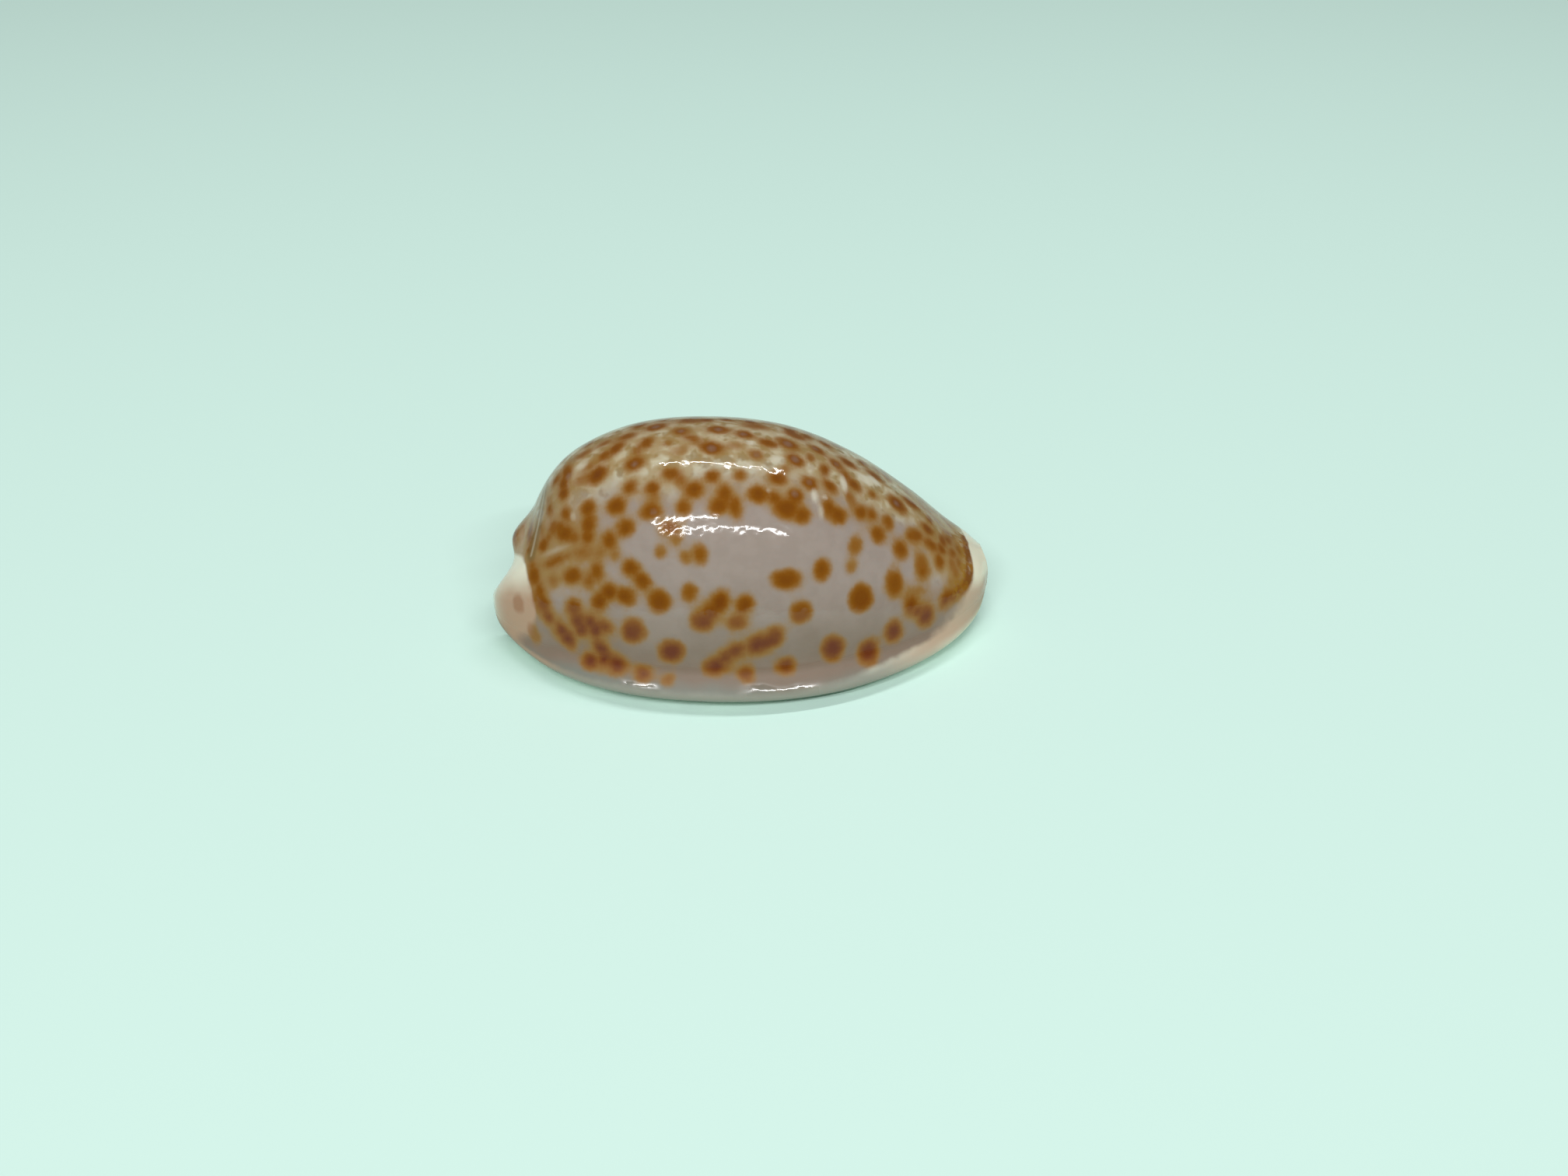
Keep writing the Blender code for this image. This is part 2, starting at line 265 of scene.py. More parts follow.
class Surface:
    """The outside of the shell in millimetres, with its own coordinates."""

    STEP_ALONG, STEP_AROUND = 1, 4  # stations and degrees to either side that give the directions at a place

    def __init__(self, outside):
        self.points = outside
        self.stations = np.linspace(0, 100, outside.shape[0])
        self.around = degrees_around()

    def place(self, station, around):
        i = np.interp(station, self.stations, np.arange(len(self.stations)))
        j = np.interp(around, self.around, np.arange(len(self.around)))
        i0, j0 = int(min(i, len(self.stations) - 2)), int(min(j, len(self.around) - 2))
        u, v = i - i0, j - j0
        p = self.points
        near = mix(p[i0, j0], p[i0 + 1, j0], u)
        far = mix(p[i0, j0 + 1], p[i0 + 1, j0 + 1], u)
        return mix(near, far, v)

    def directions(self, station, around):
        """Unit vectors along the shell and around it."""
        back, front = max(station - self.STEP_ALONG, 0), min(station + self.STEP_ALONG, 100)
        along = self.place(front, around) - self.place(back, around)
        left, right = around - self.STEP_AROUND, around + self.STEP_AROUND
        across = self.place(station, right) - self.place(station, left)
        along /= np.linalg.norm(along)
        across -= along * (across @ along)
        return along, across / np.linalg.norm(across)


# ---- markings: station, degrees around, radius in mm, darkness, and for a long one its stretch and tilt

SPOTS = (
    # back, posterior third
    (33, 86, 0.36, 0.75, 1.3, 90), (32.2, 79.5, 0.33, 0.8, 1.2, 90), (32, 74.5, 0.4, 0.85),
    (30.9, 86, 0.26, 0.6, 1.5, 0), (29, 72, 0.28, 0.65, 1.3, 90), (28.7, 79, 0.18, 0.5),
    (32, 63.5, 0.33, 0.8, 1.2, 90), (29.5, 60, 0.33, 0.6), (30.7, 58, 0.33, 0.7),
    (31.4, 54, 0.42, 0.9, 1.2, -20), (32.7, 51, 0.26, 0.6), (27.1, 53.5, 0.34, 0.85),
    (28.4, 57, 0.24, 0.55), (26.9, 63, 0.18, 0.45, 1.6, 90), (35.1, 62, 0.4, 0.9),
    (34.8, 55, 0.42, 0.95, 1.2, 90), (34.4, 49.5, 0.34, 0.85), (34.9, 76.5, 0.28, 0.5, 1.7, 0),
    (36.9, 75.5, 0.45, 1, 1.4, 15), (38.3, 59.5, 0.42, 1, 1.2, 10), (38.8, 50, 0.42, 0.95),
    (36.8, 46.5, 0.37, 0.85, 1.1, 40), (39.4, 86, 0.36, 0.85, 1.5, 35), (37.9, 84, 0.3, 0.75, 1.6, 20),
    (36.2, 81.5, 0.22, 0.55, 1.6, 15), (40.6, 92.5, 0.32, 0.7, 1.7, 5), (38, 93, 0.26, 0.6, 1.6, 0),
    (35.4, 91.5, 0.28, 0.6, 1.6, 0), (41.1, 75.5, 0.42, 0.9, 1.4, 12), (40.1, 65.5, 0.34, 0.9, 1.1, 30),
    (42.4, 63.5, 0.34, 0.9, 1.1, 90), (42.2, 59, 0.24, 0.6), (41.8, 55, 0.42, 0.95, 1.2, 0),
    (43.3, 48, 0.34, 0.85, 1.3, 0), (44.9, 54.5, 0.34, 0.85), (42.8, 85, 0.34, 0.85, 1.3, 50),
    (41.6, 81.5, 0.26, 0.6, 1.3, 60), (44.9, 83, 0.22, 0.65), (43.8, 96.5, 0.4, 0.8, 1.5, 5),
    (46, 78.5, 0.28, 0.35, 1.4, 20), (44.5, 68.5, 0.38, 0.9, 1.2, -10), (45.3, 65.5, 0.26, 0.6, 1.7, -60),
    # outer flank, posterior third
    (29.5, 42.6, 0.24, 0.75, 4.2, 5), (34, 42.5, 0.16, 0.4, 2, 0), (24.9, 37, 0.36, 0.85, 1.3, 80),
    (24.5, 43.5, 0.2, 0.6, 1.5, 90), (26.2, 27.5, 0.27, 0.8, 1.6, 95), (26.6, 20.5, 0.38, 1, 1.6, 100),
    (27.5, 13.5, 0.3, 0.85, 1.3, 110), (25.2, 23, 0.22, 0.55, 1.8, 100), (31.7, 33.5, 0.42, 0.85, 1.2, 0),
    (28.6, 33, 0.26, 0.4), (34.9, 34.5, 0.31, 0.75, 1.3, 70), (33.9, 30.5, 0.26, 0.6, 1.3, 50),
    (33.4, 43.5, 0.24, 0.5, 1.5, 0), (35.6, 42, 0.22, 0.45), (37.2, 40, 0.18, 0.4),
    (38.7, 34.5, 0.4, 1, 1.15, -40), (39.8, 29.5, 0.37, 0.95, 1.2, -40), (36.1, 25.8, 0.42, 1),
    (37.8, 24.3, 0.4, 0.95, 1.2, -20), (34.9, 21.8, 0.4, 0.95, 1.25, 55), (41.3, 22.3, 0.54, 0.85),
    (31.6, 18.5, 0.42, 0.95, 1.2, 90), (32, 13.5, 0.48, 1), (33.5, 13.5, 0.48, 1), (34.2, 10.5, 0.42, 1),
    (35.2, 11.8, 0.38, 0.85, 1.3, -20), (32.4, 9.5, 0.38, 0.9), (29.6, 8, 0.42, 1, 1.2, -50),
    (30.4, 4.5, 0.42, 1, 1.2, -60), (38.4, 11.5, 0.62, 1), (42.2, 5, 0.62, 1),
    (34.7, 3, 0.42, 1, 1.25, -40), (33.3, -8, 0.46, 1), (35, -3, 0.42, 1),
    (36.4, -5.5, 0.48, 1, 1.25, -20), (39.3, -12, 0.42, 0.8), (41.8, -15, 0.26, 0.5),
    (21, 19, 0.3, 0.45, 1.4, 90), (24.4, 2, 0.3, 0.4, 1.4, -60),
    # outer flank, middle
    (44.4, 37.5, 0.26, 0.5), (45.6, 38, 0.35, 0.75, 1.2, 90), (41.9, 39.5, 0.24, 0.5),
    (43.7, 43.5, 0.18, 0.45), (44.2, 25.3, 0.35, 0.7, 1.15, 90), (46.9, 22.3, 0.48, 1, 1.2, 60),
    (46, 18.7, 0.44, 1), (45.3, 15.8, 0.54, 1, 1.15, 10), (49.3, 21.3, 0.42, 0.95, 1.2, 90),
    (48.5, 15.4, 0.42, 0.75, 1.1, 30), (46.4, 0.3, 0.5, 1, 1.15, 10), (47.3, 3, 0.38, 0.9),
    (48.2, 5.4, 0.44, 0.9, 1.2, 35), (50.4, 7.5, 0.54, 1, 1.15, 20), (51.2, 8, 0.46, 1),
    (51.9, 9.5, 0.5, 0.95, 1.2, 60), (49.2, -8.5, 0.4, 0.75), (53.1, -3, 0.46, 0.85, 1.1, 0),
    (53.4, 29.3, 0.48, 0.95, 1.5, 0), (54.7, 17.8, 0.53, 0.75), (57.2, 33, 0.44, 0.85, 1.15, 90),
    (58, 3.3, 0.62, 1, 1.1, 90), (61.4, 21.6, 0.68, 0.95), (60.5, 34.5, 0.25, 0.4),
    (62.2, -3, 0.59, 0.95, 1.15, 90), (65.6, 5, 0.53, 0.9, 1.15, 90), (61.4, 44, 0.36, 0.55, 1.2, 60),
    # outer flank, towards the narrow end
    (65.9, 28.3, 0.49, 0.8, 1.3, 90), (65.6, 24.5, 0.25, 0.9), (64.8, 52, 0.4, 0.85, 1.15, 90),
    (67.7, 47, 0.4, 0.85, 1.25, 95), (70.8, 39.5, 0.38, 0.6, 1.65, 97), (70.6, 35.3, 0.28, 0.95, 1.2, 90),
    (68.2, 16.5, 0.42, 0.9, 1.25, 90), (69.3, 12.5, 0.34, 0.85), (70.6, 8.5, 0.52, 0.9, 1.15, 90),
    (69.3, 23.3, 0.16, 0.4, 2.4, 0), (74.4, 15.8, 0.36, 0.95, 1.3, 60), (75.7, 17.8, 0.34, 0.8, 1.2, 10),
    (77.4, 20.5, 0.3, 0.8, 1.5, 20), (79.5, 24, 0.3, 0.85, 1.3, 40), (74.4, 44.5, 0.34, 0.75, 1.2, 90),
    (77.7, 37, 0.22, 0.5, 1.7, 90), (77.4, 45, 0.2, 0.5, 1.8, 90), (76, 29, 0.12, 0.3),
    # back, middle
    (46.4, 90, 0.38, 0.8, 1.3, 0), (50, 91, 0.42, 0.75, 1.4, 0), (52.3, 88.2, 0.36, 0.85, 1.4, -10),
    (49, 79.5, 0.44, 0.85, 1.5, -25), (47.3, 85, 0.26, 0.65, 2, -25), (54.4, 84.5, 0.36, 0.85, 1.3, -10),
    (56.5, 86.5, 0.45, 0.85, 1.4, -15), (59.6, 89.5, 0.34, 0.8, 1.5, -20), (57.5, 97, 0.36, 0.7, 1.6, 0),
    (53.5, 98, 0.36, 0.6, 1.8, 0), (47.5, 101, 0.36, 0.6, 2, 0), (56.8, 78, 0.42, 0.8, 1.2, -20),
    (53, 77, 0.34, 0.6, 1.1, 0), (51.2, 81, 0.22, 0.4, 1.8, 0), (48.4, 66.3, 0.33, 0.9, 1.1, 40),
    (51, 67, 0.3, 0.65), (54.4, 67, 0.38, 0.9, 1.3, 10), (46.4, 61.3, 0.42, 1, 1.15, 10),
    (49.1, 59.5, 0.4, 1, 1.1, 90), (48.3, 55, 0.4, 1, 1.15, 20), (49.8, 54.3, 0.34, 0.95, 1.6, 100),
    (52.2, 59.5, 0.42, 1, 1.15, 10), (53.7, 58.5, 0.34, 0.95), (54.6, 55, 0.56, 1, 1.15, 10),
    (55.9, 60.8, 0.4, 0.95), (56.1, 53.4, 0.44, 1), (57.7, 68, 0.36, 0.85, 1.2, 0),
    (59.9, 77.5, 0.3, 0.8, 1.4, 85), (60, 69.5, 0.34, 0.85, 1.3, -30), (59.2, 58.5, 0.38, 1, 1.45, 98),
    (60.2, 56.3, 0.42, 0.95, 1.1, 0), (58.6, 82, 0.26, 0.6), (55.4, 72, 0.22, 0.45, 1.6, 40),
    # back, towards the narrow end
    (63.2, 90.5, 0.34, 0.8, 1.6, -15), (61.6, 84.5, 0.33, 0.8, 1.4, -20), (62.5, 80, 0.28, 0.7, 1.5, -50),
    (63.3, 76, 0.38, 0.9, 1.3, -30), (65.6, 75, 0.28, 0.7), (67, 93, 0.33, 0.7, 1.7, 0),
    (69.4, 77.8, 0.48, 0.9, 1.35, -10), (72.5, 88, 0.36, 0.75, 1.7, -5), (76, 84, 0.28, 0.8, 1.3, 90),
    (74.4, 70, 0.36, 0.85, 1.4, -10), (63.2, 61, 0.37, 0.85, 1.25, 60), (64.6, 62, 0.32, 0.8, 1.2, 90),
    (62.3, 67.5, 0.24, 0.6, 1.8, 115), (66.9, 61.5, 0.31, 0.75, 1.25, 90), (70.1, 57.5, 0.25, 0.75),
    (71.2, 60, 0.34, 0.75, 1.3, 30), (73.8, 56.5, 0.34, 0.9, 1.5, -10), (76, 56, 0.34, 0.9),
    (77.5, 66, 0.3, 0.75, 1.4, 80), (79.5, 72, 0.28, 0.7, 1.4, 60), (79, 57, 0.28, 0.7, 1.3, 30),
    (80.5, 84, 0.28, 0.75, 1.5, 0), (78.5, 92, 0.28, 0.7, 1.6, 0), (75.5, 96, 0.28, 0.6, 1.6, 0),
    (82.2, 64, 0.26, 0.7, 1.4, 80), (79.8, 48, 0.22, 0.6, 1.5, 80),
    # spire and the callus beside it
    (22.4, 71, 0.3, 1, 2.4, 88), (23, 55.5, 0.17, 0.9), (18.5, 92, 0.3, 0.35, 1.6, 60),
    (15.7, 86, 0.28, 1, 2.2, 90), (12.5, 78, 0.2, 0.6, 1.5, 60),
)
# Mauve eyes of the ring spots: station, degrees around and radius.
EYES = (
    (43.8, 96.5, 0.15), (46.4, 90, 0.12), (50, 91, 0.15), (52.2, 88.4, 0.13), (49, 79, 0.17),
    (53, 77, 0.12), (56.4, 86.6, 0.19), (56.8, 78.3, 0.17), (41.1, 75, 0.1), (33.2, 82, 0.14),
    (59.4, 90, 0.12), (61.6, 84.5, 0.1), (55.8, 61.5, 0.12), (42, 54.3, 0.1), (57.7, 68.3, 0.1),
    (69.3, 78, 0.12),
)
# Pale gaps and dashes in the brown, with a paleness in place of the darkness.
FLECKS = (
    (61.9, 74, 0.16, 1, 2.6, 102), (57.9, 62.5, 0.14, 1, 2, 95), (59.1, 63.2, 0.1, 1),
    (52.7, 83.3, 0.15, 0.9, 1.4, 0), (58.2, 56, 0.12, 0.6, 2.4, 95), (53.3, 61.5, 0.09, 0.5),
    (35.3, 84.5, 0.24, 0.45, 1.4, 20), (64.9, 83.5, 0.26, 0.7, 1.5, -20), (66.4, 87, 0.2, 0.7, 1.6, -20),
    (58.3, 76, 0.2, 0.5, 1.4, 60), (33, 61, 0.12, 0.5, 1.4, 90), (29.5, 48, 0.1, 0.3, 6, 0),
    (55, 76, 0.26, 0.45, 1.3, 0),
)
# The dark line at the foot of the narrow end's white collar: station and degrees around.
COLLAR_FOOT = (
    (88.2, 96), (87.6, 84), (86.6, 73), (85.8, 64), (84.7, 54), (83.4, 44), (82.2, 36), (81.5, 29),
    (80.6, 25), (78.8, 22),
)

# Spots of the inner flank, away from the camera: large and dark low down, small and close over the back.
HIDDEN_SEED, HIDDEN_TRIES = 11, 1500
HIDDEN_STATIONS, HIDDEN_AROUND = (15, 84), (101, 188)
HIDDEN_LOW = (112, 158)  # degrees around between which the spots of the back give way to the low ones
HIDDEN_ENDS = ((62, 80), (36, 26))  # stations over which the spots shrink towards either end
HIDDEN_END_SHRINK = 0.25
HIDDEN_BACK_RADIUS, HIDDEN_LOW_RADIUS = 0.33, (0.36, 0.56)
HIDDEN_BACK_DARKNESS, HIDDEN_LOW_DARKNESS = (0.6, 0.9), (0.75, 1.0)
HIDDEN_BACK_GAP, HIDDEN_LOW_GAP = 0.05, 0.18  # least ground left between most neighbours, in mm
HIDDEN_JOINED, HIDDEN_OVERLAP = 0.14, 0.45  # share of the spots that may run into a neighbour, and how far
HIDDEN_STRETCH = (1, 1.45)


def hidden_spots(surface):
    """The inner flank's spots, in the same form as the others: a seeded scatter that keeps its gaps."""
    draw = np.random.default_rng(HIDDEN_SEED)
    found = []
    for _ in range(HIDDEN_TRIES):
        station, around = draw.uniform(*HIDDEN_STATIONS), draw.uniform(*HIDDEN_AROUND)
        low = smooth_step(*HIDDEN_LOW, around)
        end = sum(smooth_step(*span, station) for span in HIDDEN_ENDS)
        radius = mix(HIDDEN_BACK_RADIUS, draw.uniform(*HIDDEN_LOW_RADIUS), low)
        radius *= 1 - HIDDEN_END_SHRINK * end
        darkness = mix(draw.uniform(*HIDDEN_BACK_DARKNESS), draw.uniform(*HIDDEN_LOW_DARKNESS), low)
        joined = draw.uniform() < HIDDEN_JOINED
        middle = surface.place(station, around)
        gap = -HIDDEN_OVERLAP * radius if joined else mix(HIDDEN_BACK_GAP, HIDDEN_LOW_GAP, low)
        if all(np.linalg.norm(middle - other) > radius + r + gap for other, r, _ in found):
            shape = (radius, darkness, draw.uniform(*HIDDEN_STRETCH), draw.uniform(0, 180))
            found.append((middle, radius, (station, around, *shape)))
    return tuple(spot for _, _, spot in found)


SPOT_SOFTNESS = 0.08  # in mm: how far the edges of neighbouring spots run together
HALO_SOFTNESS = 0.18  # the same for their tan halos
SPOT_FAR = 0.8  # in mm: the depth stored where no spot is near
SPOT_REACH = (4, 1)  # how far a spot counts, in its radii and in mm besides
SPOT_LIFT = 0.3  # how much a point's height off the spot's plane adds to its distance
LARGEST_POWER = 30  # of e in a spot's weight


def depth_in_spots(surface, spots, softness=SPOT_SOFTNESS):
    """How deep each point is inside the nearest spots, in mm and below 0 outside, and how dark they are."""
    points = surface.points.reshape(-1, 3)
    total = np.zeros(len(points))
    shade = np.zeros(len(points))
    for spot in spots:
        station, around, radius, darkness = spot[:4]
        stretch, tilt = spot[4:] if len(spot) > 4 else (1, 0)
        middle = surface.place(station, around)
        along, across = surface.directions(station, around)
        offset = points - middle
        near = np.abs(offset).max(axis=1) < SPOT_REACH[0] * radius + SPOT_REACH[1]
        u, v = offset[near] @ along, offset[near] @ across
        turn = radians(tilt)
        long_way = (u * cos(turn) + v * sin(turn)) / stretch
        short_way = v * cos(turn) - u * sin(turn)
        lift = np.linalg.norm(offset[near], axis=1) ** 2 - u**2 - v**2
        distance = np.sqrt(long_way**2 + short_way**2 + np.maximum(lift, 0) * SPOT_LIFT)
        weight = np.exp(np.clip((radius - distance) / softness, -LARGEST_POWER, LARGEST_POWER))
        total[near] += weight
        shade[near] += weight * darkness
    depth = softness * np.log(total + np.exp(-SPOT_FAR / softness))
    return depth, shade / (total + 1e-9)


# ---- the shell's body

# The light line where the spire's callus ends: station and degrees around.
SEAM = ((28.2, 96), (27.4, 86), (26.2, 76), (25.3, 66), (24.6, 57), (24.0, 51))
LINE_FAR = 2  # in mm: the distance stored away from a line

# Degrees round each lip, 0 facing the aperture and 90 down, where its teeth start and end.
OUTER_TOOTH_REACH, INNER_TOOTH_REACH = (-20, 62), (-15, 62)
TOOTH_ON_WALL = 0.35  # how high a tooth still stands on the aperture wall's lowest row
TOOTH_RISE, TOOTH_BLUNTNESS = 1.5, 0.7  # how steeply a tooth rises from its ends, and how flat its top is

# Where the plain pale ends start or end: degrees up from the margin, and the stations there.
COLLAR_START = (-30, -10, 0, 8, 15, 22, 29, 44, 64, 90), (70, 72, 75, 77, 79, 81, 83, 84.6, 87, 89)
OUTER_HORN_END = (
    (-30, -10, 0, 13, 20, 28, 37, 46, 52, 58, 64, 75, 90),
    (20, 22, 23.5, 25.2, 25, 24.5, 23.5, 22.5, 21, 18.5, 15, 11, 8),
)
INNER_HORN_END = (-30, 0, 20, 45, 64, 90), (12, 13, 14, 13, 11, 8)
# How softly they do: degrees up from the margin, and the stations to either side there.
COLLAR_FADE = (0, 22, 40), (7.0, 3.0, 1.5)
OUTER_HORN_FADE, INNER_HORN_FADE = ((-5, 15, 45, 60), (5.0, 0.8, 1.0, 3.5)), 4.0
# The pale underside: degrees up where it starts and is full, and stations with the degrees it rises there.
UNDERSIDE, UNDERSIDE_CLIMB = (-16, -34), ((56, 76), (0, 15))
LINING_DOWN = (185, 215)  # degrees down from the margin, on the aperture's walls, where the lining starts


def cad_fit(points):
    """Scale and shift, for each axis, that fit the outside to the CAD part's box."""
    low, high = cad_corners()
    size = points.max(axis=0) - points.min(axis=0)
    scale = (high - low) / size
    return scale, low - points.min(axis=0) * scale


def cad_corners():
    """Lowest and highest corner of the CAD part."""
    return tuple(np.array(corner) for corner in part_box("cowrie_shell"))


def tooth_profile(reach):
    """How high a tooth stands on each row of a half, 0 to 1, from the aperture wall to the crest."""
    heights = [0.0] * (WALL_ROWS - 1) + [TOOTH_ON_WALL]
    for step in range(ROLL_ROWS):
        share = (90 * step / ROLL_ROWS - reach[0]) / (reach[1] - reach[0])
        swell = TOOTH_RISE * sin(pi * share) ** TOOTH_BLUNTNESS if 0 < share < 1 else 0.0
        heights.append(max(0.0, swell - (TOOTH_RISE - 1)))
    return heights + [0.0] * (BASE_ROWS + FLANK_ROWS + 1)


def distance_to_line(surface, line):
    """Distance in mm from each point to a line through places on the surface, up to LINE_FAR."""
    points = surface.points.reshape(-1, 3)
    line = [surface.place(station, around) for station, around in line]
    nearest = np.full(len(points), np.inf)
    for start, end in zip(line, line[1:]):
        run = end - start
        share = np.clip((points - start) @ run / (run @ run), 0, 1)
        nearest = np.minimum(nearest, np.linalg.norm(points - start - share[:, None] * run, axis=1))
    return np.minimum(nearest, LINE_FAR)


def bare_share(station, around):
    """1 where the shell is left plain pale: both end callouses, the low margins and the base."""
    outer = around <= 90
    up = np.where(outer, around, 180 - around)
    fade = np.interp(up, *COLLAR_FADE)
    collar = smooth_step(-fade, fade, station - np.interp(up, *COLLAR_START))
    horn_end = np.where(outer, np.interp(up, *OUTER_HORN_END), np.interp(up, *INNER_HORN_END))
    fade = np.where(outer, np.interp(up, *OUTER_HORN_FADE), INNER_HORN_FADE)
    horn = smooth_step(-fade, fade, horn_end - station)
    underside = smooth_step(*UNDERSIDE, up - np.interp(station, *UNDERSIDE_CLIMB))
    return np.maximum(np.maximum(collar, horn), underside)


def measures(surface):
    """What the relief and enamel read at each point of the outside, and their value for the whole cavity."""
    station = np.repeat(surface.stations, len(surface.around))
    around = np.tile(surface.around, len(surface.stations))
    spots = SPOTS + hidden_spots(surface)
    spot_depth, spot_darkness = depth_in_spots(surface, spots)
    halo_depth, _ = depth_in_spots(surface, spots, HALO_SOFTNESS)
    eye_depth, _ = depth_in_spots(surface, [(*eye, 1) for eye in EYES])
    fleck_depth, fleck_paleness = depth_in_spots(surface, FLECKS)
    other_half = [0.0] * (len(surface.around) // 2)
    outer_lip = tooth_profile(OUTER_TOOTH_REACH) + other_half
    inner_lip = other_half + tooth_profile(INNER_TOOTH_REACH)[::-1]
    return {
        "station": (station, 50),
        "around": (around, 90),
        "spot_depth": (spot_depth, -1),
        "spot_darkness": (spot_darkness, 0),
        "halo_depth": (halo_depth, -1),
        "eye_depth": (eye_depth, -1),
        "fleck_depth": (fleck_depth, -1),
        "fleck_paleness": (fleck_paleness, 0),
        "seam_distance": (distance_to_line(surface, SEAM), LINE_FAR),
        "foot_distance": (distance_to_line(surface, COLLAR_FOOT), LINE_FAR),
        "bare": (bare_share(station, around), 1),
        "lining": (smooth_step(*LINING_DOWN, np.abs(around - 90) - 90), 1),
        "outer_lip": (np.tile(outer_lip, len(surface.stations)), 0),
        "inner_lip": (np.tile(inner_lip, len(surface.stations)), 0),
    }


def grid_faces(grid):
    """A face for each cell of a grid of vertex numbers."""
    corners = (grid[:-1, :-1], grid[1:, :-1], grid[1:, 1:], grid[:-1, 1:])
    return np.stack(corners, axis=-1).reshape(-1, 4).tolist()


def closing_faces(first, second):
    """Outward faces of two grids that share their border, the second with every CAVITY_STEP-th row."""
    faces = grid_faces(first) + [(a, d, c, b) for a, b, c, d in grid_faces(second[:, ::CAVITY_STEP])]
    for j in range(0, first.shape[1] - 1, CAVITY_STEP):
        for k in range(1, CAVITY_STEP):
            faces.append((first[0, j], first[0, j + k], first[0, j + k + 1]))
            faces.append((first[-1, j + k + 1], first[-1, j + k], first[-1, j]))
    return [tuple(int(n) for n in face) for face in faces]


def add_object(name, data):
    made = bpy.data.objects.new(name, data)
    bpy.context.collection.objects.link(made)
    return made


def shell_body():
    """The shell as a closed mesh with its measures stored, and where its teeth start and end along X."""
    outside, cavity = shell_sheets()
    scale, shift = cad_fit(outside.reshape(-1, 3) * LENGTH)
    outside, cavity = (sheet * LENGTH * scale + shift for sheet in (outside, cavity))

    first = np.arange(outside.shape[0] * outside.shape[1]).reshape(outside.shape[:2])
    second = first.copy()
    lining = np.zeros(outside.shape[:2], dtype=bool)
    lining[1:-1, CAVITY_STEP:-1:CAVITY_STEP] = True
    second[lining] = first.size + np.arange(lining.sum())
    points = np.concatenate([outside.reshape(-1, 3), cavity[lining]])
    mesh = bpy.data.meshes.new("cowrie_shell_body")
    mesh.from_pydata(points.tolist(), [], closing_faces(first, second))
    mesh.update()
    for name, (values, in_cavity) in measures(Surface(outside / MM)).items():
        values = np.concatenate([values, np.full(lining.sum(), in_cavity)])
        mesh.attributes.new(name, "FLOAT", "POINT").data.foreach_set("value", values.astype(np.float32))
    mesh.polygons.foreach_set("use_smooth", np.ones(len(mesh.polygons), dtype=bool))
    shape = add_object("cowrie_shell_enamel", mesh)
    return shape, [share * LENGTH * scale[0] + shift[0] for share in TEETH_SPAN]


# ---- nodes

def add_node(tree, kind, inputs=None, **settings):
    """Adds a node, sets its properties, and fills its inputs with values or other nodes' outputs."""
    made = tree.nodes.new(kind)
    for name, value in settings.items():
        setattr(made, name, value)
    for key, value in (inputs or {}).items():
        if isinstance(value, bpy.types.NodeSocket):
            tree.links.new(value, made.inputs[key])
        else:
            made.inputs[key].default_value = value
    return made


def maths_in(tree):
    """A function that adds one step of arithmetic to this tree and gives its result."""
    def maths(operation, *values):
        return add_node(tree, "ShaderNodeMath", dict(enumerate(values)), operation=operation).outputs[0]

    return maths


# ---- relief by Geometry Nodes: the teeth along both lips, the faint waves of the enamel, and the seam

# Inputs of the relief. The empty ones are filled in with the shape's own values.
RELIEF = {
    "Outer Teeth": 23,
    "Inner Teeth": 20,
    "First Tooth": None,
    "Last Tooth": None,
    "Tooth Height": 0.24 * MM,
    "Tooth Sharpness": 1.6,
    "Wave Height": 0.010 * MM,
    "Wave Length": 1.4 * MM,
    "Seam Depth": 0.005 * MM,
    "Seam Width": 0.12,
    "Seed": 3,
    "Enamel": None,
}


